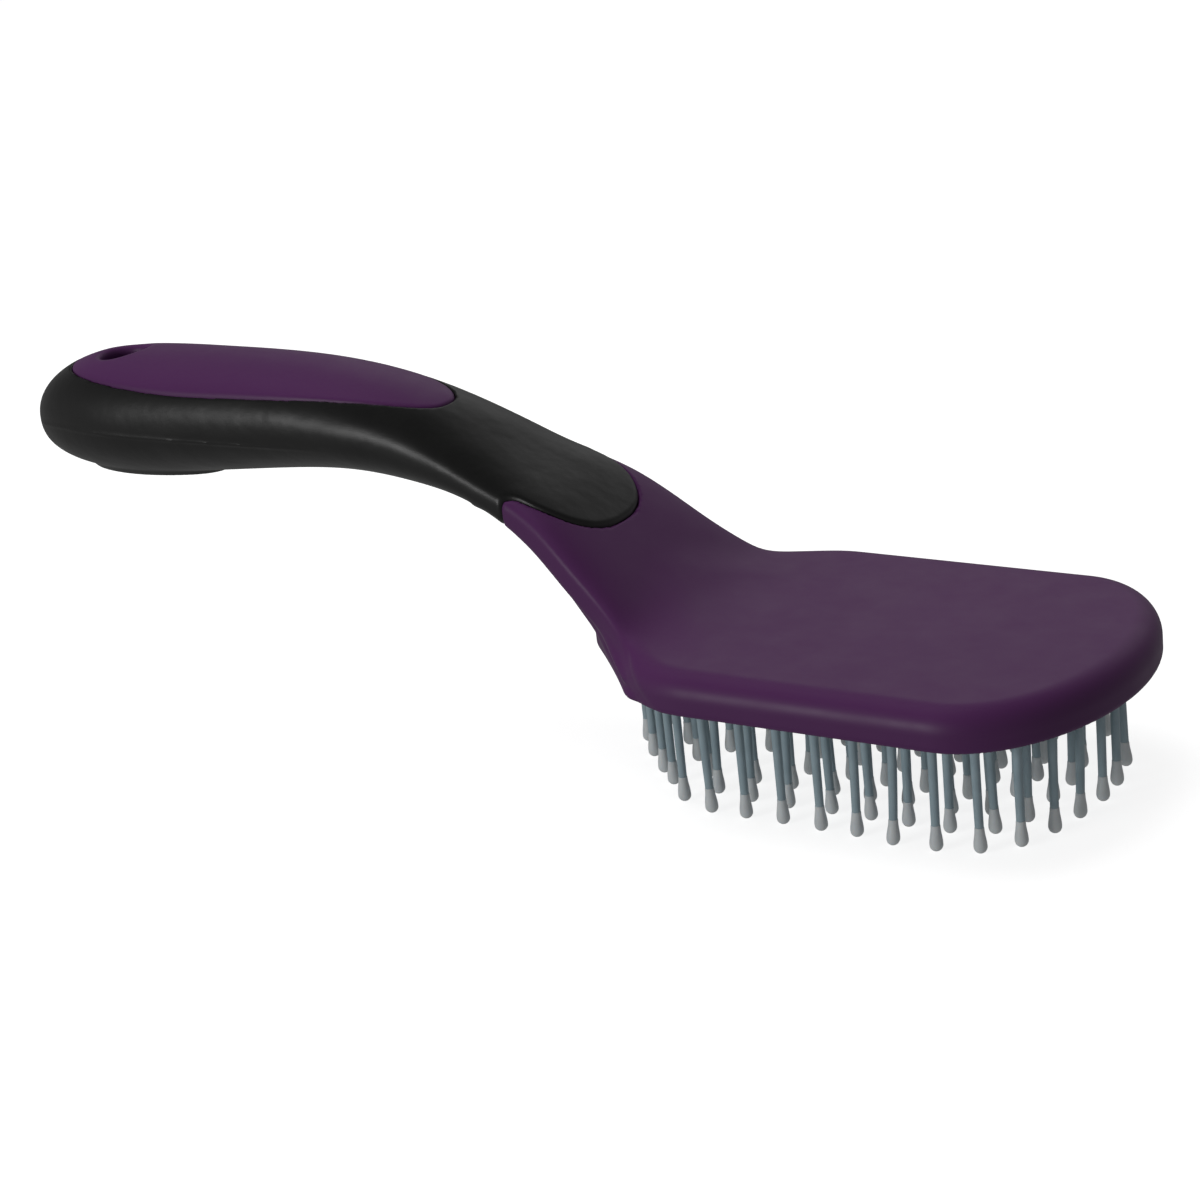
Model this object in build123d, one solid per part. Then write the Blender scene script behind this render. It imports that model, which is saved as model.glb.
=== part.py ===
from build123d import *
import os
from math import cos, hypot, pi, sin

# Mane and tail brush: a paddle head full of ball-tipped pins on a raised, rubber-covered handle.
# X runs from the handle's end (-X) to the head's free end (+X), Y is the width and Z is up.
# The origin is at the middle of the length and the width, on the plane of the pin tips.
# Stations are distances from the head's free end, measured along the brush, in millimetres.

# driving dimensions, mm
brush_length = 234.0
head_half_width = 34.0
head_base_z = 20.5          # lower face of the head above the pin tips
head_wall = 7.3             # height of the head's side wall and shoulder
free_end_reach = 22.0       # length of the elliptical free end
side_end = 75.4             # station where the straight side would meet the neck shoulder
neck_apex = 109.4           # station where the two neck shoulders would meet
side_corner_r = 20.0
neck_corner_r = 16.0
shoulder_r = 4.4

pad_rim = 3.2               # width of the head's rim around the pin pad
pad_thickness = 2.6
pad_inset = 0.6             # pad's lower face above the rim's lower face
collar_h = 2.4
collar_root = 1.0           # how far a collar reaches into the pad
collar_base_r = 1.75
collar_tip_r = 1.05

pin_r = 0.75
pin_head_r = 1.5
pin_head_h = 0.8
tip_length = 4.5
tip_r = 1.15
spigot_r = 0.45
spigot_length = 1.6
ring_pitch = 6.7            # from one ring of pins to the next
ring_inset = 7.3            # outer ring in from the head's edge
ring_names = ["outer", "second", "third", "fourth"]
ring_counts = [33, 26, 20, 14]
ring_phases = [0.0, 0.5, 0.5, 0.0]      # place of a ring's first pin, in pitches from the middle
head_middle = 48.0          # station that parts the front pins from the back pins
centre_row_start = 36.0     # stations of the centre row's first and last pin
centre_row_end = 61.0
centre_row_count = 4

wall = 2.0                  # rubber thickness over the handle core
grip_end = 113.7            # station where the rubber's sides end
tongue_end = 97.7           # station of the rubber tongue's tip
tongue_half_width = 14.6
tongue_thickness = 1.3
tongue_floor = 36.0         # height below which the tongue's plan shape stops
core_sections = slice(1, 13)    # sections that the plastic core runs through inside the rubber
clear_z = 80.0              # above every part of the brush
clear_width = 60.0          # wider than the handle
window_near = 133.5
window_far = 222.5
window_half_width = 12.9
window_floor = 56.0         # height below which the window's opening stops

hole_station = 211.5
hole_r = 4.8
thumb_pad_station = 201.0   # raised oval pad under the handle's end
thumb_pad_length = 32.0
thumb_pad_width = 14.0
thumb_pad_rise = 0.6
thumb_pad_depth = 4.0       # how far the pad's block reaches up into the handle
underside_z = 43.2          # handle's lower surface at the thumb pad

section_points = 24         # points that carry each section's curve
oval_points = 28            # points that carry each plan oval
path_samples = 2000         # places tried when looking for a ring's foremost point

# handle and neck sections: station, half width, top, bottom, squareness of the section
sections = [
    (234.0, 2.4, 54.6, 50.4, 2.2),
    (231.5, 6.1, 58.4, 47.4, 2.2),
    (227.0, 9.8, 62.2, 45.1, 2.2),
    (219.0, 13.2, 65.6, 43.5, 2.2),
    (207.0, 15.2, 67.2, 43.0, 2.2),
    (190.0, 15.2, 67.6, 44.3, 2.2),
    (170.0, 14.5, 67.5, 46.5, 2.2),
    (150.0, 13.8, 65.5, 47.7, 2.2),
    (135.0, 13.6, 61.4, 46.6, 2.3),
    (122.0, 14.4, 55.5, 44.8, 2.6),
    (113.0, 15.4, 50.8, 41.6, 3.0),
    (105.0, 17.3, 46.2, 36.9, 3.2),
    (98.0, 19.3, 41.1, 31.9, 3.4),
    (90.0, 22.8, 34.9, 25.9, 3.6),
    (83.0, 26.7, 29.8, 21.6, 3.8),
    (76.0, 29.8, 27.4, 21.2, 4.0),
    (68.0, 30.2, 26.6, 21.6, 4.0),
]

# keel that carries the neck's underside down to the head, in the same form
keel_sections = [
    (118.0, 7.5, 46.0, 43.6, 2.4),
    (112.0, 9.5, 44.5, 39.6, 2.4),
    (105.0, 12.5, 40.0, 33.4, 2.4),
    (98.0, 15.5, 34.0, 26.6, 2.4),
    (90.0, 18.5, 28.5, 21.6, 2.4),
    (82.0, 19.5, 26.0, 21.2, 2.4),
]


def at(station):
    """X of a station."""
    return brush_length / 2 - station


def power_arc(value, exponent):
    """Signed power, which turns an ellipse into a superellipse."""
    return abs(value) ** exponent * (1 if value >= 0 else -1)


def section_wire(station, half_width, top, bottom, squareness, inset=0.0):
    """Closed superellipse of one cross section, standing across the brush."""
    half_height = (top - bottom) / 2 - inset
    middle = (top + bottom) / 2
    points = []
    for i in range(section_points):
        angle = 2 * pi * i / section_points
        y = (half_width - inset) * power_arc(cos(angle), 2 / squareness)
        z = middle + half_height * power_arc(sin(angle), 2 / squareness)
        points.append((at(station), y, z))
    return Wire([Edge.make_spline(points, periodic=True)])


def loft_sections(rows, inset=0.0):
    """Smooth solid through a row of cross sections."""
    return Solid.make_loft([section_wire(*row, inset=inset) for row in rows])


def head_outline(inset=0.0):
    """Plan outline of the head: elliptical free end, straight sides, two shoulders to the neck."""
    half = head_half_width - inset
    run = neck_apex - side_end
    apex = neck_apex - inset * hypot(run, head_half_width) / head_half_width
    start_x = at(free_end_reach)
    corner_x = at(apex - run * half / head_half_width)
    sides = Polyline((start_x, half), (corner_x, half), (at(apex), 0), (corner_x, -half), (start_x, -half))
    tip = EllipticalCenterArc((start_x, 0), free_end_reach - inset, half, -90, arc_size=180)
    sketch = make_face([*sides.edges(), tip])
    corners = sketch.vertices().filter_by(lambda v: abs(v.X - corner_x) < 0.1)
    sketch = fillet(corners, side_corner_r - inset)
    return fillet(sketch.vertices().sort_by(Axis.X)[0], neck_corner_r - inset)


def head_slab():
    """Head: outline raised to a drafted wall with a rounded shoulder."""
    slab = extrude(head_outline(), head_wall)
    top_edges = slab.faces().sort_by(Axis.Z)[-1].edges()
    slab = fillet(top_edges, shoulder_r)
    return slab.moved(Location((0, 0, head_base_z)))


def pad_recess_top():
    """Height of the recess floor, which bears on the pin heads."""
    return head_base_z + pad_inset + pad_thickness + pin_head_h


def plan_oval(near, far, half_width, sharpness):
    """Closed plan curve between two stations, blunter as sharpness grows."""
    middle = (near + far) / 2
    reach = (far - near) / 2
    points = []
    for i in range(oval_points):
        angle = 2 * pi * i / oval_points
        x = at(middle) + reach * power_arc(cos(angle), 2 / sharpness)
        points.append((x, half_width * power_arc(sin(angle), 2 / sharpness), 0))
    return make_face([Edge.make_spline(points, periodic=True)])


def prism(face, low, high):
    """Plan face raised between two heights."""
    return extrude(face.moved(Location((0, 0, low))), high - low)


def handle_solid():
    """Outer shape of the handle and neck, before it is shared between plastic and rubber."""
    return loft_sections(sections)


def window_prism():
    """Space above the handle's middle where the plastic core shows through the rubber."""
    oval = plan_oval(window_near, window_far, window_half_width, sharpness=2.6)
    return prism(oval, window_floor, clear_z)


def tongue_prism():
    """Plan shape of the rubber tongue on top of the neck."""
    reach_back = 2 * grip_end - tongue_end
    oval = plan_oval(tongue_end, reach_back, tongue_half_width, sharpness=2.4)
    return prism(oval, tongue_floor, clear_z)


def rubber_zone():
    """Everything behind the station where the rubber's sides end."""
    block = Box(brush_length, clear_width, clear_z, align=(Align.MAX, Align.CENTER, Align.MIN))
    return block.moved(Location((at(grip_end), 0, 0)))


def tongue(outer):
    """Thin rubber tongue, flush with the neck's upper surface."""
    lower_skin = outer.moved(Location((-tongue_thickness * 0.6, 0, -tongue_thickness)))
    lobe = outer & tongue_prism() - lower_skin
    return lobe - rubber_zone()


def thumb_pad():
    """Raised oval pad under the handle's end."""
    low = thumb_pad_station - thumb_pad_length / 2
    high = thumb_pad_station + thumb_pad_length / 2
    oval = plan_oval(low, high, thumb_pad_width / 2, sharpness=2.3)
    floor = underside_z - thumb_pad_rise
    pad = prism(oval, floor, floor + thumb_pad_depth)
    return fillet(pad.faces().sort_by(Axis.Z)[0].edges(), thumb_pad_rise * 0.9)


def hanging_hole():
    """Round hole straight through the handle's end."""
    bore = Cylinder(hole_r, clear_z, align=(Align.CENTER, Align.CENTER, Align.MIN))
    return bore.moved(Location((at(hole_station), 0, 0)))


def handle_core():
    """Plastic core of the handle, a wall's thickness inside the rubber's surface."""
    return loft_sections(sections[core_sections], inset=wall)


def brush_body(outer, core, rubber_tongue):
    """Moulded plastic body: head, neck and the handle core inside the rubber."""
    neck = outer + loft_sections(keel_sections) - rubber_zone() - rubber_tongue
    window = outer & window_prism()
    body = neck + core + window + head_slab()
    body = body - prism(head_outline(pad_rim), 0, pad_recess_top())
    return body - hanging_hole()


def grip(outer, core, rubber_tongue):
    """Rubber moulded over the handle core, open at the window."""
    shell = (outer & rubber_zone()) + thumb_pad()
    shell = shell - core - window_prism()
    return shell + rubber_tongue - hanging_hole()


def ring_path(inset):
    """Closed path inside the head's outline."""
    return offset(head_outline(), -inset, kind=Kind.INTERSECTION).faces()[0].outer_wire()


def ring_points(inset, count, phase):
    """Evenly spaced pin places on one ring, mirrored about the brush's middle plane."""
    path = ring_path(inset)
    start = max(range(path_samples), key=lambda i: (path @ (i / path_samples)).X) / path_samples
    points = []
    for k in range(int(count / 2 - phase) + 1):
        spot = path @ ((start + (k + phase) / count) % 1.0)
        side = abs(spot.Y)
        if side < pin_r:
            points.append((spot.X, 0.0))
        else:
            points.append((spot.X, side))
            points.append((spot.X, -side))
    return points


def pin_groups():
    """Pin places by node name: each ring is split into its front, sides and back."""
    groups = {}
    for i, name in enumerate(ring_names):
        for x, y in ring_points(ring_inset + i * ring_pitch, ring_counts[i], ring_phases[i]):
            half_row = head_half_width - ring_inset - i * ring_pitch
            if abs(y) > half_row - pin_r:
                side = "left" if y > 0 else "right"
            else:
                side = "front" if x > at(head_middle) else "back"
            groups.setdefault(f"{name}_{side}", []).append((x, y))
    step = (centre_row_end - centre_row_start) / (centre_row_count - 1)
    groups["centre_row"] = [(at(centre_row_start + k * step), 0.0) for k in range(centre_row_count)]
    return groups


def pin_shaft():
    """One nylon pin: flat head behind the pad, straight shaft, thin spigot inside its tip."""
    top = pad_recess_top()
    neck = top - pin_head_h
    outline = Polyline(
        (0, tip_length - spigot_length),
        (spigot_r, tip_length - spigot_length),
        (spigot_r, tip_length),
        (pin_r, tip_length),
        (pin_r, neck),
        (pin_head_r, neck),
        (pin_head_r, top),
        (0, top),
        close=True,
    )
    return revolve(Plane.XZ * make_face(outline), Axis.Z)


def pin_tip():
    """One drop-shaped tip, moulded over the pin's spigot."""
    inner_end = tip_length - spigot_length
    slant = tip_r * cos(pi / 4)
    bore = [(0, inner_end), (spigot_r, inner_end), (spigot_r, tip_length)]
    sides = Polyline((0, 0), *bore, (pin_r, tip_length))
    skin = Spline(
        (pin_r, tip_length),
        (tip_r * 0.9, tip_length * 0.55),
        (tip_r, tip_r),
        tangents=[(0.12, -1), (0, -1)],
    )
    ball = ThreePointArc((tip_r, tip_r), (slant, tip_r - slant), (0, 0))
    profile = make_face([*sides.edges(), skin, ball])
    return revolve(Plane.XZ * profile, Axis.Z)


def root_collar():
    """Cone of the pad around one pin's root."""
    face_z = head_base_z + pad_inset
    outline = Polyline(
        (pin_r, face_z - collar_h),
        (collar_tip_r, face_z - collar_h),
        (collar_base_r, face_z),
        (collar_base_r, face_z + collar_root),
        (pin_r, face_z + collar_root),
        close=True,
    )
    return revolve(Plane.XZ * make_face(outline), Axis.Z)


def pin_pad(places):
    """Flat pad set into the head, with a collar and a bore for each pin."""
    low = head_base_z + pad_inset
    pad = prism(head_outline(pad_rim), low, low + pad_thickness)
    collar = root_collar().solids()[0]
    bore = Cylinder(pin_r, clear_z, align=(Align.CENTER, Align.CENTER, Align.MIN)).solids()[0]
    pad = pad.solids()[0].cut(*[bore.moved(Location((x, y, 0))) for x, y in places])
    return pad.solids()[0].fuse(*[collar.moved(Location((x, y, 0))) for x, y in places])


def copies(piece, places):
    """The same piece at each place, kept as separate solids."""
    solid = piece.solids()[0]
    return Compound(children=[solid.moved(Location((x, y, 0))) for x, y in places])


def main():
    os.makedirs("parts", exist_ok=True)
    outer = handle_solid()
    rubber_tongue = tongue(outer)
    core = handle_core()
    export_step(brush_body(outer, core, rubber_tongue), "parts/brush_body.step")
    export_step(grip(outer, core, rubber_tongue), "parts/grip_cover.step")
    groups = pin_groups()
    every_place = [place for places in groups.values() for place in places]
    export_step(pin_pad(every_place), "parts/pin_pad.step")
    shaft = pin_shaft()
    tip = pin_tip()
    for name, places in groups.items():
        export_step(copies(shaft, places), f"parts/pins_{name}.step")
        export_step(copies(tip, places), f"parts/tips_{name}.step")


main()
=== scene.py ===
import math

import bpy
import numpy as np
from mathutils import Matrix, Vector


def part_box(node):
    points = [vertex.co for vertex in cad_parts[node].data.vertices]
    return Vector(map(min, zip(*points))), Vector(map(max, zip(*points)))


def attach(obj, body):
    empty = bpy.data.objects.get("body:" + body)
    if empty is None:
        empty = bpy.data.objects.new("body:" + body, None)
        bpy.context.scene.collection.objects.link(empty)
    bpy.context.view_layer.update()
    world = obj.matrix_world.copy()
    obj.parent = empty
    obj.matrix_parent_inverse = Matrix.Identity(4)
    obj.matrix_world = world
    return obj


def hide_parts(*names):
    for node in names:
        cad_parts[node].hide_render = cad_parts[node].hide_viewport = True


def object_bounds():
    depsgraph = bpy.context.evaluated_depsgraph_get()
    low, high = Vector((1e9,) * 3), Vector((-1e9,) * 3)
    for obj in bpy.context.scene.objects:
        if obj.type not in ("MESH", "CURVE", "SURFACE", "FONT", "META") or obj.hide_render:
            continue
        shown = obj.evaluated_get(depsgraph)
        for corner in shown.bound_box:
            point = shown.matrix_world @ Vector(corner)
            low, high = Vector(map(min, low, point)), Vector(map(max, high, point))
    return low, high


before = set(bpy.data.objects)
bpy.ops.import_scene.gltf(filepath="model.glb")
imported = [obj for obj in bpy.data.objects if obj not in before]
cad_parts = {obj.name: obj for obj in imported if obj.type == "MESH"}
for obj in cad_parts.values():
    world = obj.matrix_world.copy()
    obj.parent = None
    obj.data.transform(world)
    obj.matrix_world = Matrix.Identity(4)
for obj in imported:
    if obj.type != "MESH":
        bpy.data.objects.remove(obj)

# A mane and tail brush: satin plastic head and neck, black rubber grip, nylon pins with drop-shaped tips.
# The shapes are worked out in millimetres and turned into metres when a mesh is made.
# A station is the distance from the head's free end, back along the brush.
# A join is the reach over which two surfaces blend into each other.

cad_low, cad_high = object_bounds()
MM = 0.001
TINY = 1e-6
BRUSH_LENGTH = 234.0
FREE_END = BRUSH_LENGTH / 2

# meshing: cell size, cells along a block, how far a block may lie from the surface in its own sides,
# how far a point may settle in cells, rounds of smoothing, and margins round the boxes that are searched
BODY_CELL = 0.5
GRIP_CELL = 0.38
BLOCK_SIDE = 4
BLOCK_REACH = 4.0
SETTLE_REACH = 0.5
RELAX_ROUNDS = 2
BODY_MARGIN = 3
BASE_MARGIN = 2
GRIP_MARGIN = 2

# head
HEAD_HALF = 34.0
HEAD_BASE = 20.5
HEAD_TOP = 27.8
FREE_REACH = 22.0
SIDE_END = 75.4
NECK_APEX = 109.4
SIDE_CORNER_R = 20.0
NECK_CORNER_R = 16.0
SHOULDER_R = 4.4
LOWER_EDGE_R = 0.9
PAD_RIM = 3.2
POCKET_TOP = 24.5
POCKET_JOIN = 0.5
PAD_FACE = 21.1

# the neck runs into the head with a small join at the head's edge and a wide one further in
HEAD_JOIN_EDGE = 5.5
HEAD_JOIN_GAIN = 7.5
HEAD_JOIN_DEPTH = 16.0

# the keel's join to the handle, and the heights from the handle's middle between which it fades out
KEEL_JOIN = 4.0
KEEL_FADE = (-3.0, 1.5)

# grip; the window and the tongue are plan ovals, squarer as their power grows
WALL = 2.0
SEAM_GAP = 0.12
GRIP_END = 113.7
TONGUE_TIP = 97.7
TONGUE_MIDDLE = 111.0
TONGUE_HALF = 13.6
TONGUE_POWER = 2.5
TONGUE_JOIN = 4.0
TONGUE_RISE = 0.4
TONGUE_FADE = (108, 121)
WINDOW_NEAR = 133.5
WINDOW_FAR = 222.5
WINDOW_HALF = 12.9
WINDOW_POWER = 2.6
WINDOW_FLOOR = 56.0
WINDOW_TAPER_AT = 181.7
WINDOW_TAPER = 0.0028
WINDOW_WIDTH = 0.99
BODY_SEAM_JOIN = 0.55
GRIP_SEAM_JOIN = 0.6

# heights above the handle's middle between which its upper half begins
UPPER_HALF = (0.5, 4.0)

# thumb pad under the handle's end; its edge slopes between two distances from its outline
THUMB_NEAR = 188.0
THUMB_FAR = 223.0
THUMB_HALF = 8.5
THUMB_POWER = 2.3
THUMB_RISE = 0.8
THUMB_EDGE = (-1.3, 0.2)

# parting line of the rubber: its heights at stations, and the bead on it, which starts and stops softly
PARTING_STATIONS = [165.0, 190.0, 218.0, 234.0]
PARTING_HEIGHTS = [54.0, 53.9, 54.0, 52.6]
BEAD_RISE = 0.18
BEAD_HALF = 0.32
BEAD_START = (150.0, 172.0)
BEAD_STOP = (226.0, 231.0)

# hanging hole
HOLE_STATION = 211.5
HOLE_R = 4.8
BODY_HOLE_JOIN = 1.9
GRIP_HOLE_JOIN = 1.6

# pins; a spigot is the thin end of a shaft inside its tip, and a flare its thick end at the pad
TIP_LENGTH = 4.6
TIP_R = 1.15
TIP_STEP = 0.07
PIN_R = 0.74
PIN_SIDES = 16
CLOSED_R = 0.02
SPIGOT_LENGTH = 0.9
SPIGOT_INSET = 0.16
SHAFT_TAPER = 0.05
SHAFT_TAPER_LENGTH = 12
FLARE_START = 16.6
FLARE_STOP = PAD_FACE - 2.2
FLARE = 0.28
FLARE_POWER = 2.2
ROOT_DEPTH = 0.5
LEAN_SPREAD = 0.35
LEAN_LIMIT = 0.8
LEAN_SEED = 7
TIP_POINT_DEPTH = 0.004

# handle and neck: station, half width, top, bottom, squareness of the section
HANDLE = [
    (234.0, 0.0, 52.5, 52.5, 2.2),
    (231.5, 6.1, 58.4, 47.4, 2.2),
    (227.0, 9.8, 62.2, 45.1, 2.2),
    (219.0, 13.2, 65.6, 43.5, 2.2),
    (207.0, 15.2, 67.2, 43.0, 2.2),
    (190.0, 15.2, 67.6, 44.3, 2.2),
    (170.0, 14.5, 67.5, 46.5, 2.2),
    (150.0, 13.8, 65.5, 47.7, 2.2),
    (135.0, 13.6, 61.4, 46.6, 2.3),
    (122.0, 14.4, 55.3, 44.8, 2.6),
    (113.0, 15.4, 50.7, 41.6, 3.2),
    (105.0, 17.3, 46.8, 36.9, 3.8),
    (98.0, 19.3, 41.8, 31.9, 4.0),
    (90.0, 21.5, 35.4, 26.8, 4.0),
    (83.0, 24.5, 29.9, 22.6, 3.6),
    (76.0, 26.6, 24.5, 17.4, 3.0),
    (68.0, 26.4, 18.3, 11.2, 2.6),
    (60.0, 25.6, 12.1, 5.0, 2.4),
]
KEEL = [
    (118.0, 7.5, 46.0, 43.6, 2.4),
    (112.0, 9.5, 44.5, 39.6, 2.4),
    (105.0, 12.5, 40.0, 33.4, 2.4),
    (98.0, 15.5, 34.0, 26.6, 2.4),
    (90.0, 18.0, 27.5, 22.6, 2.4),
    (82.0, 17.0, 23.4, 21.4, 2.4),
]


def smooth_min(a, b, reach):
    """Lower of two distances, rounded where they are within reach of each other."""
    near = np.clip(1 - np.abs(a - b) / reach, 0, 1)
    return np.minimum(a, b) - near * near * reach / 4


def soft_min(a, b, reach):
    """As smooth_min, with the curvature kept even where the rounding begins."""
    near = np.clip(1 - np.abs(a - b) / reach, 0, 1)
    return np.minimum(a, b) - near ** 3 * reach / 6


def smooth_max(a, b, reach):
    """Higher of two distances, rounded where they are within reach of each other."""
    return -smooth_min(-a, -b, reach)


def ramp(value, low, high):
    """Smooth step from 0 at low to 1 at high."""
    t = np.clip((value - low) / (high - low), 0, 1)
    return t * t * (3 - 2 * t)


def natural_spline(xs, ys, at):
    """Natural cubic spline through (xs, ys), read at the places given."""
    count = len(xs)
    step = np.diff(xs)
    slope = np.diff(ys) / step
    matrix = np.eye(count)
    right = np.zeros(count)
    for i in range(1, count - 1):
        matrix[i, i - 1] = step[i - 1]
        matrix[i, i] = 2 * (step[i - 1] + step[i])
        matrix[i, i + 1] = step[i]
        right[i] = 6 * (slope[i] - slope[i - 1])
    bend = np.linalg.solve(matrix, right)
    i = np.clip(np.searchsorted(xs, at) - 1, 0, count - 2)
    t = at - xs[i]
    first = slope[i] - step[i] * (2 * bend[i] + bend[i + 1]) / 6
    return ys[i] + t * (first + t * (bend[i] / 2 + t * (bend[i + 1] - bend[i]) / (6 * step[i])))


class Tube:
    """Solid through a row of superellipse sections, as a signed distance that is true near its surface."""

    STEP = 0.05
    LEAST_SQUARE = 0.02

    def __init__(self, rows):
        rows = np.array(sorted(rows))
        self.ends = rows[0, 0], rows[-1, 0]
        self.at = np.arange(self.ends[0], self.ends[1] + self.STEP / 5, self.STEP)
        station = rows[:, 0]
        width = natural_spline(station, rows[:, 1] ** 2, self.at)
        height = natural_spline(station, ((rows[:, 2] - rows[:, 3]) / 2) ** 2, self.at)
        self.width = np.sqrt(np.maximum(width, self.LEAST_SQUARE))
        self.height = np.sqrt(np.maximum(height, self.LEAST_SQUARE))
        self.middle = natural_spline(station, (rows[:, 2] + rows[:, 3]) / 2, self.at)
        self.power = natural_spline(station, rows[:, 4], self.at)
        self.slopes = [np.gradient(row, self.at) for row in (self.width, self.height, self.middle)]

    def __call__(self, x, y, z):
        u = FREE_END - x
        rows = self.width, self.height, self.middle, self.power
        b, c, m, n = [np.interp(u, self.at, row) for row in rows]
        db, dc, dm = [np.interp(u, self.at, row) for row in self.slopes]
        side = np.abs(y) / b
        rise = np.abs(z - m) / c
        size = np.maximum(side ** n + rise ** n, TINY) ** (1 / n)
        part = size ** (1 - n)
        by_side = part * side ** (n - 1)
        by_rise = part * rise ** (n - 1)
        along = by_side * side * db / b + by_rise * (np.sign(z - m) * dm + rise * dc) / c
        steep = np.sqrt((by_side / b) ** 2 + (by_rise / c) ** 2 + along ** 2)
        value = (size - 1) / np.maximum(steep, TINY)
        return np.maximum(value, np.maximum(u - self.ends[1], self.ends[0] - u))


def rounded_corner(before, corner, after, radius, count=24):
    """Points of the arc that rounds one corner of a path."""
    before, corner, after = map(np.array, (before, corner, after))
    one = (before - corner) / np.linalg.norm(before - corner)
    two = (after - corner) / np.linalg.norm(after - corner)
    half = math.acos(float(np.dot(one, two))) / 2
    middle = (one + two) / np.linalg.norm(one + two)
    centre = corner + middle * radius / math.sin(half)
    start = corner + one * radius / math.tan(half) - centre
    end = corner + two * radius / math.tan(half) - centre
    turn = math.atan2(start[0] * end[1] - start[1] * end[0], float(np.dot(start, end)))
    points = []
    for angle in np.linspace(0, turn, count):
        c, s = math.cos(angle), math.sin(angle)
        points.append(centre + (c * start[0] - s * start[1], s * start[0] + c * start[1]))
    return points


def head_outline(end_points=160):
    """Plan outline of the head as a closed polygon, counter-clockwise from the free end."""
    start_x = FREE_END - FREE_REACH
    corner = (FREE_END - SIDE_END, HEAD_HALF)
    apex = (FREE_END - NECK_APEX, 0.0)
    mirror = (corner[0], -HEAD_HALF)
    points = []
    for angle in np.linspace(-math.pi / 2, math.pi / 2, end_points):
        points.append((start_x + FREE_REACH * math.cos(angle), HEAD_HALF * math.sin(angle)))
    points += rounded_corner((start_x, HEAD_HALF), corner, apex, SIDE_CORNER_R)
    points += rounded_corner(corner, apex, mirror, NECK_CORNER_R)
    points += rounded_corner(apex, mirror, (start_x, -HEAD_HALF), SIDE_CORNER_R)
    return np.array(points)


class Outline:
    """Signed distance to a convex plan outline, read from a fine grid."""

    def __init__(self, points, margin=12.0, step=0.4):
        self.step = step
        self.low = points.min(0) - margin
        high = points.max(0) + margin
        self.xs = np.arange(self.low[0], high[0] + step, step)
        self.ys = np.arange(self.low[1], high[1] + step, step)
        gx, gy = np.meshgrid(self.xs, self.ys, indexing="ij")
        start = points
        run = np.roll(points, -1, 0) - points
        length = np.hypot(run[:, 0], run[:, 1])
        real = length > TINY
        start, run, length = start[real], run[real], length[real]
        nearest = np.full(gx.shape, np.inf)
        inside = np.full(gx.shape, -np.inf)
        for (px, py), (rx, ry), size in zip(start, run, length):
            dx, dy = gx - px, gy - py
            t = np.clip((dx * rx + dy * ry) / size ** 2, 0, 1)
            nearest = np.minimum(nearest, np.hypot(dx - t * rx, dy - t * ry))
            inside = np.maximum(inside, (dx * ry - dy * rx) / size)
        self.grid = np.where(inside > 0, nearest, inside)

    def __call__(self, x, y):
        fx = np.clip((x - self.low[0]) / self.step, 0, len(self.xs) - 1.001)
        fy = np.clip((y - self.low[1]) / self.step, 0, len(self.ys) - 1.001)
        i, j = fx.astype(int), fy.astype(int)
        s, t = fx - i, fy - j
        g = self.grid
        lower = g[i, j] * (1 - s) + g[i + 1, j] * s
        upper = g[i, j + 1] * (1 - s) + g[i + 1, j + 1] * s
        return lower * (1 - t) + upper * t


def rounded_top(edge, rise, radius):
    """Distance to the solid where edge < 0 and rise < 0, with its meeting edge rounded."""
    a, b = edge + radius, rise + radius
    return np.minimum(np.maximum(a, b), 0) + np.hypot(np.maximum(a, 0), np.maximum(b, 0)) - radius


def oval(u, y, near, far, half, power, least_steep=1e-3):
    """Distance to a plan oval between two stations, squarer as power grows."""
    reach = (far - near) / 2
    a = np.abs(u - (near + far) / 2) / reach
    b = np.abs(y) / half
    size = np.maximum(a ** power + b ** power, TINY) ** (1 / power)
    steep = size ** (1 - power) * np.hypot(a ** (power - 1) / reach, b ** (power - 1) / half)
    return (size - 1) / np.maximum(steep, least_steep)


outline = Outline(head_outline())
handle_tube = Tube(HANDLE)
keel_tube = Tube(KEEL)


def handle_middle(u):
    """Height of the middle of the handle at a station."""
    return np.interp(u, handle_tube.at, handle_tube.middle)


def handle_skin(x, y, z):
    """Outer surface of the handle and neck; the keel only swells its lower half."""
    keel = keel_tube(x, y, z) + KEEL_JOIN * ramp(z - handle_middle(FREE_END - x), *KEEL_FADE)
    return smooth_min(handle_tube(x, y, z), keel, KEEL_JOIN)


def window_plan(u, y):
    """Plan shape of the plastic window in the grip, wider towards the handle's end."""
    taper = WINDOW_WIDTH + WINDOW_TAPER * (u - WINDOW_TAPER_AT)
    return oval(u, y / taper, WINDOW_NEAR, WINDOW_FAR, WINDOW_HALF, WINDOW_POWER)


def tongue_plan(u, y):
    """Plan shape of the rubber tongue on the neck."""
    return oval(u, y, TONGUE_TIP, 2 * TONGUE_MIDDLE - TONGUE_TIP, TONGUE_HALF, TONGUE_POWER)


def rubber_region(x, y, z):
    """Negative where the skin of the handle is rubber."""
    u = FREE_END - x
    tongue = np.maximum(tongue_plan(u, y), handle_middle(u) - z)
    covered = smooth_min(tongue, GRIP_END - u, TONGUE_JOIN)
    window = np.maximum(window_plan(u, y), WINDOW_FLOOR - z)
    return np.maximum(covered, -window)


def hole_distance(x, y):
    """Positive inside the hanging hole."""
    return HOLE_R - np.hypot(x - (FREE_END - HOLE_STATION), y)


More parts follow.
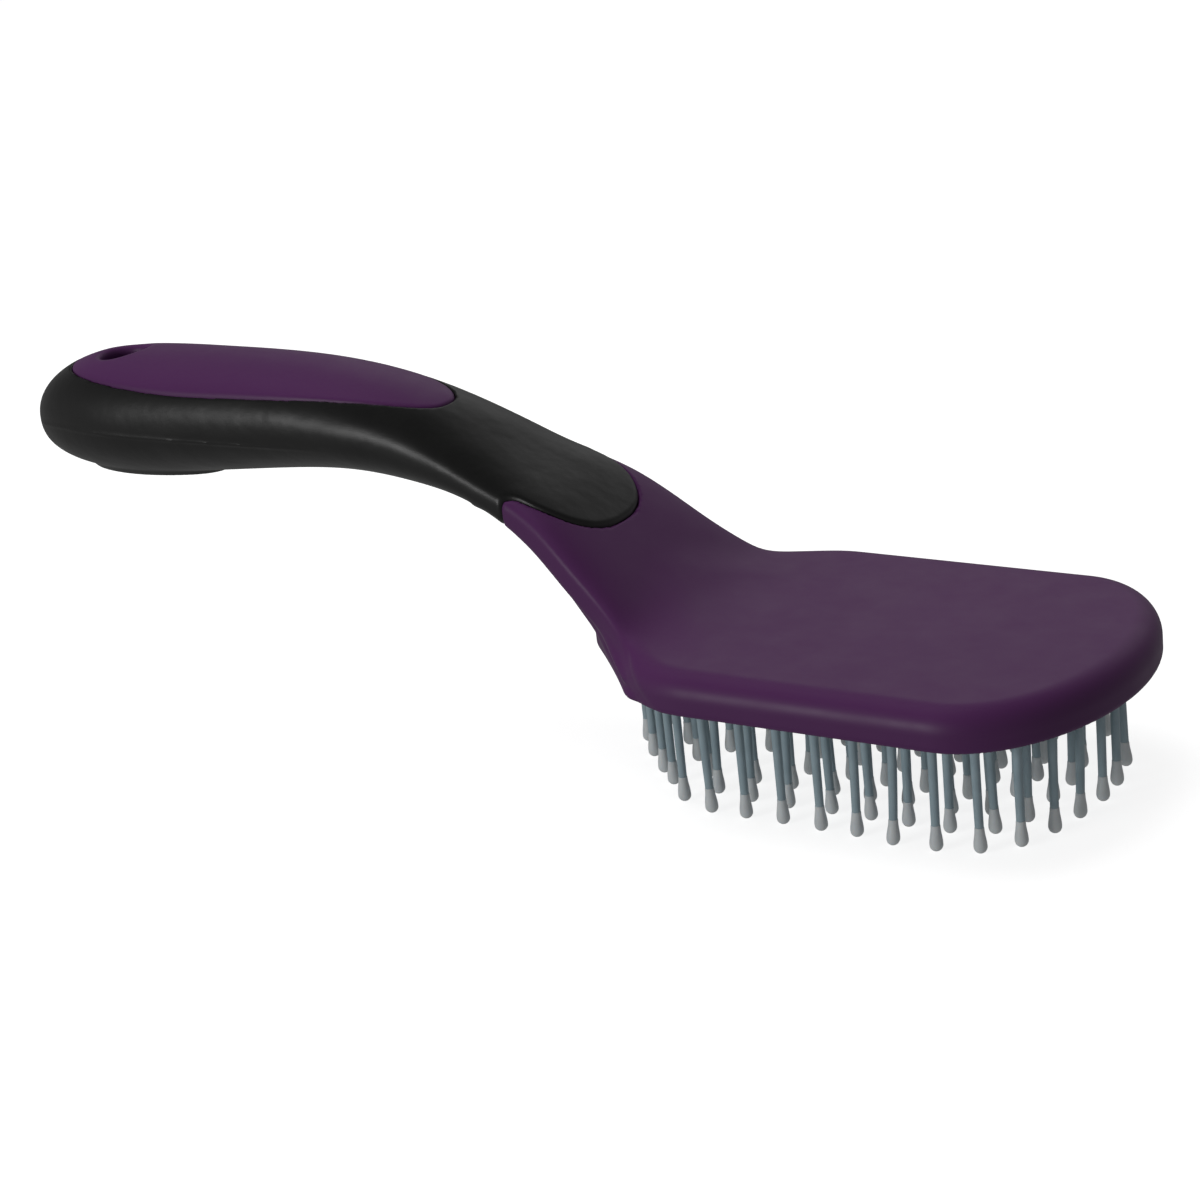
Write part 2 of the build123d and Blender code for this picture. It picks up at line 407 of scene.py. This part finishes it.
def body_field(x, y, z):
    """Moulded plastic: head, neck, window and the core inside the grip."""
    skin = handle_skin(x, y, z)
    rubber = rubber_region(x, y, z)
    core = np.minimum(skin + WALL + SEAM_GAP / 2, SEAM_GAP / 2 - rubber)
    tube = smooth_max(skin, core, BODY_SEAM_JOIN)
    edge = outline(x, y)
    head = rounded_top(edge, z - HEAD_TOP, SHOULDER_R)
    solid = soft_min(tube, head, HEAD_JOIN_EDGE + HEAD_JOIN_GAIN * ramp(-edge, 0.0, HEAD_JOIN_DEPTH))
    solid = smooth_max(solid, HEAD_BASE - z, LOWER_EDGE_R)
    pocket = np.maximum(edge + PAD_RIM, z - POCKET_TOP)
    solid = smooth_max(solid, -pocket, POCKET_JOIN)
    return smooth_max(solid, hole_distance(x, y), BODY_HOLE_JOIN)


def grip_field(x, y, z):
    """Rubber moulded over the core, with its raised tongue and thumb pad."""
    u = FREE_END - x
    skin = handle_skin(x, y, z)
    upper = ramp(z - handle_middle(u), *UPPER_HALF)
    tongue = TONGUE_RISE * upper * (1 - ramp(u, *TONGUE_FADE))
    pad_plan = oval(u, y, THUMB_NEAR, THUMB_FAR, THUMB_HALF, THUMB_POWER)
    thumb = THUMB_RISE * (1 - ramp(pad_plan, *THUMB_EDGE)) * (1 - upper)
    parting = np.interp(u, PARTING_STATIONS, PARTING_HEIGHTS)
    along = ramp(u, *BEAD_START) * (1 - ramp(u, *BEAD_STOP))
    bead = BEAD_RISE * np.exp(-((z - parting) / BEAD_HALF) ** 2) * along
    outer = skin - tongue - thumb - bead
    region = rubber_region(x, y, z) + SEAM_GAP / 2
    shell = smooth_max(outer, region, GRIP_SEAM_JOIN)
    shell = np.maximum(shell, -(skin + WALL - SEAM_GAP / 2))
    return smooth_max(shell, hole_distance(x, y) - SEAM_GAP / 2, GRIP_HOLE_JOIN)


def slopes(field, points, reach=0.04):
    """Gradient of a field at each point."""
    out = np.empty_like(points)
    for axis in range(3):
        step = np.zeros(3)
        step[axis] = reach
        ahead, behind = points + step, points - step
        out[:, axis] = (field(*ahead.T) - field(*behind.T)) / (2 * reach)
    return out


def settle(field, points, limit, rounds=2, least_steep=0.05):
    """Moves points onto the surface field = 0."""
    for _ in range(rounds):
        value = field(*points.T)
        steep = slopes(field, points)
        size = np.maximum((steep ** 2).sum(1), least_steep)
        move = -(value / size)[:, None] * steep
        far = np.linalg.norm(move, axis=1)
        move *= np.minimum(1, limit / np.maximum(far, TINY))[:, None]
        points = points + move
    return points


def neighbours_mean(points, quads):
    """Mean of the points joined to each point by an edge."""
    total = np.zeros_like(points)
    count = np.zeros(len(points))
    for a, b in ((0, 1), (1, 2), (2, 3), (3, 0)):
        for one, two in ((quads[:, a], quads[:, b]), (quads[:, b], quads[:, a])):
            for axis in range(3):
                total[:, axis] += np.bincount(one, points[two, axis], len(points))
            count += np.bincount(one, minlength=len(points))
    return total / count[:, None]


def surface_of(field, low, high, cell):
    """Quad mesh of the surface where a field changes sign, between two corners of a box."""
    side = BLOCK_SIDE
    low = np.array(low, float)
    blocks = np.ceil((np.array(high) - low) / (cell * side)).astype(int)
    index = np.stack(np.meshgrid(*[np.arange(n) for n in blocks], indexing="ij"), -1).reshape(-1, 3)
    centres = low + (index + 0.5) * cell * side
    index = index[np.abs(field(*centres.T)) < cell * side * BLOCK_REACH]
    local = np.stack(np.meshgrid(*[np.arange(side + 1)] * 3, indexing="ij"), -1).reshape(-1, 3)
    samples = index[:, None, :] * side + local[None]
    values = field(*(low + samples.reshape(-1, 3) * cell).T)
    values = values.reshape(-1, side + 1, side + 1, side + 1)
    negative = values < 0

    def window(grid, i, j, k):
        return grid[:, i:i + side, j:j + side, k:k + side]

    corners = [(i, j, k) for i in (0, 1) for j in (0, 1) for k in (0, 1)]
    below = sum(window(negative, *c).astype(int) for c in corners)
    active = (below > 0) & (below < len(corners))
    block, *inner = np.nonzero(active)
    inner = np.stack(inner, 1)
    cells = index[block] * side + inner

    total = np.zeros((len(cells), 3))
    count = np.zeros(len(cells))
    value_at = {c: window(values, *c)[active] for c in corners}
    for c in corners:
        for axis in range(3):
            if c[axis]:
                continue
            d = tuple(c[i] + (i == axis) for i in range(3))
            one, two = value_at[c], value_at[d]
            crossing = (one < 0) != (two < 0)
            t = np.where(crossing, one / np.where(crossing, one - two, 1), 0)
            for i in range(3):
                place = c[i] + (t if i == axis else 0)
                total[:, i] += np.where(crossing, place, 0)
            count += crossing
    points = low + (cells + total / count[:, None]) * cell

    span = blocks * side + 2
    key = (cells[:, 0] * span[1] + cells[:, 1]) * span[2] + cells[:, 2]
    order = np.argsort(key)
    sorted_key = key[order]
    strides = np.array([span[1] * span[2], span[2], 1])
    quads = []
    for axis in range(3):
        ahead = [int(i == axis) for i in range(3)]
        one, two = value_at[(0, 0, 0)], value_at[tuple(ahead)]
        here = np.nonzero((one < 0) != (two < 0))[0]
        j, k = (axis + 1) % 3, (axis + 2) % 3
        around = [0, -strides[j], -strides[j] - strides[k], -strides[k]]
        ring = np.stack([key[here] + shift for shift in around], 1)
        found = np.minimum(np.searchsorted(sorted_key, ring), len(key) - 1)
        whole = (sorted_key[found] == ring).all(1)
        faces = order[found[whole]]
        flip = (one[here] < 0)[whole]
        faces[~flip] = faces[~flip][:, ::-1]
        quads.append(faces)
    quads = np.concatenate(quads)
    limit = cell * SETTLE_REACH
    points = settle(field, points, limit)
    for _ in range(RELAX_ROUNDS):
        points = points + (neighbours_mean(points, quads) - points) / 2
        points = settle(field, points, limit, 1)
    return points, quads


def make_object(name, points, faces):
    """Mesh object from points in millimetres."""
    faces = np.asarray(faces)
    mesh = bpy.data.meshes.new(name)
    mesh.vertices.add(len(points))
    mesh.vertices.foreach_set("co", (np.asarray(points) * MM).astype(np.float32).ravel())
    corners = faces.shape[1]
    mesh.loops.add(faces.size)
    mesh.loops.foreach_set("vertex_index", faces.astype(np.int32).ravel())
    mesh.polygons.add(len(faces))
    mesh.polygons.foreach_set("loop_start", np.arange(0, faces.size, corners, dtype=np.int32))
    mesh.polygons.foreach_set("use_smooth", np.ones(len(faces), bool))
    mesh.update(calc_edges=True)
    mesh.validate()
    piece = bpy.data.objects.new(name, mesh)
    bpy.context.scene.collection.objects.link(piece)
    return piece


# ---------------------------------------------------------------- materials

class Nodes:
    """A new node material with a principled shader and short calls to add to it."""

    def __init__(self, name):
        self.material = bpy.data.materials.new(name)
        self.material.use_nodes = True
        self.tree = self.material.node_tree
        self.shader = self.tree.nodes["Principled BSDF"]
        self.coordinates = self.tree.nodes.new("ShaderNodeTexCoord").outputs["Object"]

    def plug(self, value, socket):
        """Links an output to a socket, or sets the socket to a constant."""
        if hasattr(value, "links"):
            self.tree.links.new(value, socket)
        else:
            socket.default_value = value

    def add(self, kind, **inputs):
        node = self.tree.nodes.new("ShaderNode" + kind)
        for key, value in inputs.items():
            self.plug(value, node.inputs[key.replace("_", " ")])
        return node

    def set(self, **inputs):
        for key, value in inputs.items():
            self.plug(value, self.shader.inputs[key.replace("_", " ")])

    def noise(self, scale, detail=2.0, roughness=0.5, stretch=None):
        vector = self.coordinates
        if stretch:
            vector = self.add("Mapping", Vector=vector, Scale=stretch).outputs["Vector"]
        node = self.add("TexNoise", Vector=vector, Scale=scale, Detail=detail, Roughness=roughness)
        return node.outputs["Fac"]

    def span(self, value, to_low, to_high, low=0.3, high=0.7):
        """Maps low..high of a value, which is where noise mostly lies, to another range."""
        node = self.add("MapRange", Value=value)
        for key, number in (("From Min", low), ("From Max", high), ("To Min", to_low), ("To Max", to_high)):
            node.inputs[key].default_value = number
        return node.outputs["Result"]

    def blend(self, factor, one, two):
        """Colour between two constant colours."""
        node = self.tree.nodes.new("ShaderNodeMix")
        node.data_type = "RGBA"
        self.tree.links.new(factor, node.inputs["Factor"])
        first, second = [socket for socket in node.inputs if socket.type == "RGBA"]
        first.default_value = (*one, 1)
        second.default_value = (*two, 1)
        return [socket for socket in node.outputs if socket.type == "RGBA"][0]

    def bump(self, height, strength, distance, normal=None):
        inputs = dict(Height=height, Strength=strength, Distance=distance)
        if normal:
            inputs["Normal"] = normal
        return self.add("Bump", **inputs).outputs["Normal"]


def plastic_material():
    n = Nodes("satin_purple_plastic")
    cloud = n.noise(scale=22.0, detail=3.0)
    fine = n.noise(scale=2600.0)
    broad = n.noise(scale=55.0)
    n.set(Base_Color=n.blend(n.span(cloud, 0, 1), (0.087, 0.0222, 0.101), (0.093, 0.0243, 0.107)))
    n.set(Roughness=n.span(n.noise(scale=160.0, detail=3.0), 0.42, 0.48), Specular_IOR_Level=0.25)
    normal = n.bump(broad, strength=0.03, distance=0.004)
    n.set(Normal=n.bump(fine, strength=0.12, distance=0.00004, normal=normal))
    return n.material


def rubber_material():
    n = Nodes("black_grip_rubber")
    cloud = n.noise(scale=40.0, detail=4.0, roughness=0.6)
    smear = n.noise(scale=30.0, detail=4.0, roughness=0.65, stretch=(0.5, 2.0, 2.0))
    fine = n.noise(scale=3000.0, detail=3.0, roughness=0.6)
    shade = n.span(cloud, 0, 1, high=0.75)
    n.set(Base_Color=n.blend(shade, (0.0040, 0.0040, 0.0040), (0.0085, 0.0085, 0.0082)))
    n.set(Roughness=n.span(smear, 0.33, 0.45), Specular_IOR_Level=0.45)
    normal = n.bump(n.noise(scale=90.0, detail=3.0), strength=0.12, distance=0.003)
    n.set(Normal=n.bump(fine, strength=0.25, distance=0.00006, normal=normal))
    return n.material


def nylon_material(name, dark, light, smoothest):
    """Slightly translucent nylon in a mottle of two shades."""
    n = Nodes(name)
    n.set(Base_Color=n.blend(n.span(n.noise(scale=260.0, detail=3.0), 0, 1), dark, light))
    n.set(Roughness=n.span(n.noise(scale=700.0), smoothest, smoothest + 0.11), Specular_IOR_Level=0.5)
    n.set(Subsurface_Weight=0.12, Subsurface_Radius=(0.6, 0.8, 1.0), Subsurface_Scale=0.0006)
    n.set(Normal=n.bump(n.noise(scale=1500.0), strength=0.15, distance=0.00006))
    return n.material


def floor_material():
    n = Nodes("pale_floor")
    paper = n.noise(scale=8.0, detail=4.0)
    n.set(Base_Color=n.blend(paper, (0.50, 0.50, 0.50), (0.53, 0.53, 0.53)), Roughness=0.9)
    n.set(Specular_IOR_Level=0.0, Emission_Color=(1, 1, 1, 1), Emission_Strength=0.84)
    return n.material


plastic = plastic_material()
rubber = rubber_material()
pad_nylon = nylon_material("pad_nylon_grey", (0.12, 0.155, 0.175), (0.16, 0.20, 0.22), 0.40)
pin_nylon = nylon_material("pin_nylon_grey", (0.31, 0.41, 0.46), (0.37, 0.48, 0.53), 0.35)
tip_nylon = nylon_material("tip_nylon_pale", (0.66, 0.70, 0.72), (0.74, 0.78, 0.79), 0.37)


# ---------------------------------------------------------------- camera, floor and lights

AIM = (0, 0, 0.04)
CAMERA_PLACE = (0.2848, -0.3959, 0.1982)
CAMERA_AZIMUTH = math.radians(34.5216)
CAMERA_ELEVATION = math.radians(19.7986)
CAMERA_ROLL = math.radians(-6.1895)
CAMERA_LENS = 84.0
FLOOR_HALF = 12.0

# light on the object from each height, as grey levels from straight below to straight above
WORLD_GREYS = [(0.0, 0.30), (0.5, 0.22), (1.0, 0.10)]
BACKGROUND_STRENGTH = 0.9

# name, place, width and height, power, whether it shows in reflections
LIGHTS = [
    ("overhead", (-0.42, 0.12, 1.15), (1.0, 1.0), 7.0, False),
    ("front_left", (-0.46, -1.08, 0.29), (0.40, 0.30), 4.3, True),
    ("back", (-0.20, 1.15, 0.66), (1.3, 0.5), 1.0, True),
]


def add_camera():
    """Camera fitted to the photo."""
    flat = math.cos(CAMERA_ELEVATION)
    aside, ahead = math.sin(CAMERA_AZIMUTH), math.cos(CAMERA_AZIMUTH)
    back = np.array([aside * flat, -ahead * flat, math.sin(CAMERA_ELEVATION)])
    right = np.array([ahead, aside, 0.0])
    up = np.cross(back, right)
    turned_right = right * math.cos(CAMERA_ROLL) + up * math.sin(CAMERA_ROLL)
    turned_up = up * math.cos(CAMERA_ROLL) - right * math.sin(CAMERA_ROLL)
    data = bpy.data.cameras.new("camera")
    data.sensor_width = 36.0
    data.lens = CAMERA_LENS
    data.clip_start = 0.01
    data.clip_end = 60.0
    camera = bpy.data.objects.new("camera", data)
    bpy.context.scene.collection.objects.link(camera)
    turn = Matrix(np.stack([turned_right, turned_up, back], 1).tolist()).to_4x4()
    camera.matrix_world = Matrix.Translation(CAMERA_PLACE) @ turn
    bpy.context.scene.camera = camera


def add_light(name, place, size, power, reflected):
    """Area light that faces the brush."""
    data = bpy.data.lights.new(name, "AREA")
    data.shape = "RECTANGLE"
    data.size, data.size_y = size
    data.energy = power
    light = bpy.data.objects.new(name, data)
    bpy.context.scene.collection.objects.link(light)
    light.location = place
    light.visible_glossy = reflected
    direction = Vector(AIM) - light.location
    light.rotation_mode = "QUATERNION"
    light.rotation_quaternion = direction.to_track_quat("-Z", "Y")


def add_floor():
    corners = [(-FLOOR_HALF, -FLOOR_HALF, 0), (FLOOR_HALF, -FLOOR_HALF, 0),
               (FLOOR_HALF, FLOOR_HALF, 0), (-FLOOR_HALF, FLOOR_HALF, 0)]
    floor = make_object("floor", np.array(corners) / MM, [(0, 1, 2, 3)])
    floor.data.materials.append(floor_material())
    floor.visible_diffuse = False
    floor.visible_glossy = False


def add_world():
    """A plain bright background to the camera, and a soft grey gradient to everything else."""
    world = bpy.data.worlds.new("studio")
    bpy.context.scene.world = world
    world.use_nodes = True
    tree = world.node_tree
    tree.nodes.clear()
    link = tree.links.new

    def node(kind):
        return tree.nodes.new("ShaderNode" + kind)

    seen = node("Background")
    seen.inputs["Color"].default_value = (1, 1, 1, 1)
    seen.inputs["Strength"].default_value = BACKGROUND_STRENGTH
    lit = node("Background")
    place = node("TexCoord")
    split = node("SeparateXYZ")
    height = node("MapRange")
    height.inputs["From Min"].default_value = -1.0
    sky = node("ValToRGB")
    stops = sky.color_ramp.elements
    stops.new(WORLD_GREYS[1][0])
    for stop, (position, grey) in zip(stops, WORLD_GREYS):
        stop.position = position
        stop.color = (grey, grey, grey, 1)
    link(place.outputs["Generated"], split.inputs[0])
    link(split.outputs["Z"], height.inputs["Value"])
    link(height.outputs["Result"], sky.inputs["Fac"])
    link(sky.outputs["Color"], lit.inputs["Color"])

    path = node("LightPath")
    mix = node("MixShader")
    output = node("OutputWorld")
    link(path.outputs["Is Camera Ray"], mix.inputs[0])
    link(lit.outputs[0], mix.inputs[1])
    link(seen.outputs[0], mix.inputs[2])
    link(mix.outputs[0], output.inputs["Surface"])


add_camera()
add_floor()
add_world()
for light in LIGHTS:
    add_light(*light)
bpy.context.scene.view_settings.view_transform = "Standard"


# ---------------------------------------------------------------- body and grip

def add_body():
    low = np.array(cad_low) / MM - BODY_MARGIN
    high = np.array(cad_high) / MM + BODY_MARGIN
    low[2] = HEAD_BASE - BASE_MARGIN
    body = make_object("body_shell", *surface_of(body_field, low, high, BODY_CELL))
    body.data.materials.append(plastic)
    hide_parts("brush_body")
    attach(body, "root")


def add_grip():
    low, high = (np.array(corner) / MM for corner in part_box("grip_cover"))
    surface = surface_of(grip_field, low - GRIP_MARGIN, high + GRIP_MARGIN, GRIP_CELL)
    grip = make_object("grip_skin", *surface)
    grip.data.materials.append(rubber)
    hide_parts("grip_cover")
    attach(grip, "root")


add_body()
add_grip()


# ---------------------------------------------------------------- pins

def pin_places(node):
    """Plan places of the pins whose tips are in a CAD node: each tip's lowest point is on its axis."""
    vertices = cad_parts[node].data.vertices
    co = np.empty(len(vertices) * 3, np.float32)
    vertices.foreach_get("co", co)
    co = co.reshape(-1, 3) / MM
    lowest = co[co[:, 2] < TIP_POINT_DEPTH]
    return sorted({(round(float(x), 1), round(float(y), 1)) for x, y in lowest[:, :2]})


def bent_lathe(profile, lean):
    """Points of a turned profile whose axis bends like a beam, by lean from the pad's face to z = 0."""
    rings = []
    angles = np.linspace(0, 2 * math.pi, PIN_SIDES, endpoint=False)
    for radius, z in profile:
        t = min(max(1 - z / PAD_FACE, 0), 1)
        shift = np.array(lean) * (1.5 * t * t - 0.5 * t ** 3)
        across = radius * np.cos(angles) + shift[0]
        along = radius * np.sin(angles) + shift[1]
        rings.append(np.stack([across, along, np.full(PIN_SIDES, z)], 1))
    return np.concatenate(rings)


def lathe_faces(rings):
    """Quads between the rings of one lathe."""
    faces = []
    for ring in range(rings - 1):
        low, high = ring * PIN_SIDES, (ring + 1) * PIN_SIDES
        for s in range(PIN_SIDES):
            t = (s + 1) % PIN_SIDES
            faces.append((low + s, low + t, high + t, high + s))
    return np.array(faces)


def shaft_profile():
    """Radius and height of a pin's shaft, from inside its tip up to its collar in the pad."""
    spigot_end = TIP_LENGTH - SPIGOT_LENGTH
    rows = [(CLOSED_R, spigot_end), (PIN_R - SPIGOT_INSET, spigot_end), (PIN_R - 0.02, TIP_LENGTH - 0.7)]
    for z in np.linspace(TIP_LENGTH - 0.3, FLARE_START, 9):
        rows.append((PIN_R + SHAFT_TAPER * (z - TIP_LENGTH) / SHAFT_TAPER_LENGTH, z))
    for t in np.linspace(0, 1, 7)[1:]:
        radius = PIN_R + SHAFT_TAPER + FLARE * t ** FLARE_POWER
        rows.append((radius, FLARE_START + (FLARE_STOP - FLARE_START) * t))
    rows.append((PIN_R, PAD_FACE + ROOT_DEPTH))
    rows.append((CLOSED_R, PAD_FACE + ROOT_DEPTH))
    return rows


def tip_profile():
    """Radius and height of a drop-shaped tip, from its lowest point up to its rim on the shaft."""
    rows = [(CLOSED_R, 0.0)]
    for angle in np.linspace(0, math.pi / 2, 7)[1:]:
        rows.append((TIP_R * math.sin(angle), TIP_R * (1 - math.cos(angle))))
    rim_r = PIN_R + TIP_STEP
    rim_z = TIP_LENGTH - 0.12
    for t in np.linspace(0, 1, 10)[1:]:
        swell = (1 + math.cos(math.pi * t)) / 2
        rows.append((rim_r + (TIP_R - rim_r) * swell, TIP_R + (rim_z - TIP_R) * t))
    rows.append((PIN_R + 0.02, TIP_LENGTH))
    rows.append((PIN_R - 0.1, TIP_LENGTH + 0.02))
    rows.append((CLOSED_R, TIP_LENGTH - 0.1))
    return rows


def add_pins():
    chance = np.random.default_rng(LEAN_SEED)
    kinds = (("pins", "pin_shafts", shaft_profile(), pin_nylon),
             ("tips", "pin_drops", tip_profile(), tip_nylon))
    for node in sorted(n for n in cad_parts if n.startswith("tips_")):
        group = node.removeprefix("tips_")
        places = pin_places(node)
        leans = [chance.normal(0, LEAN_SPREAD, 2).clip(-LEAN_LIMIT, LEAN_LIMIT) for _ in places]
        for kind, word, profile, material in kinds:
            one = lathe_faces(len(profile))
            points = [bent_lathe(profile, lean) + (*place, 0) for place, lean in zip(places, leans)]
            faces = [one + i * len(profile) * PIN_SIDES for i in range(len(places))]
            piece = make_object(f"{word}_{group}", np.concatenate(points), np.concatenate(faces))
            piece.data.materials.append(material)
            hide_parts(f"{kind}_{group}")
            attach(piece, "root")


add_pins()
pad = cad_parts["pin_pad"]
pad.data.materials.clear()
pad.data.materials.append(pad_nylon)
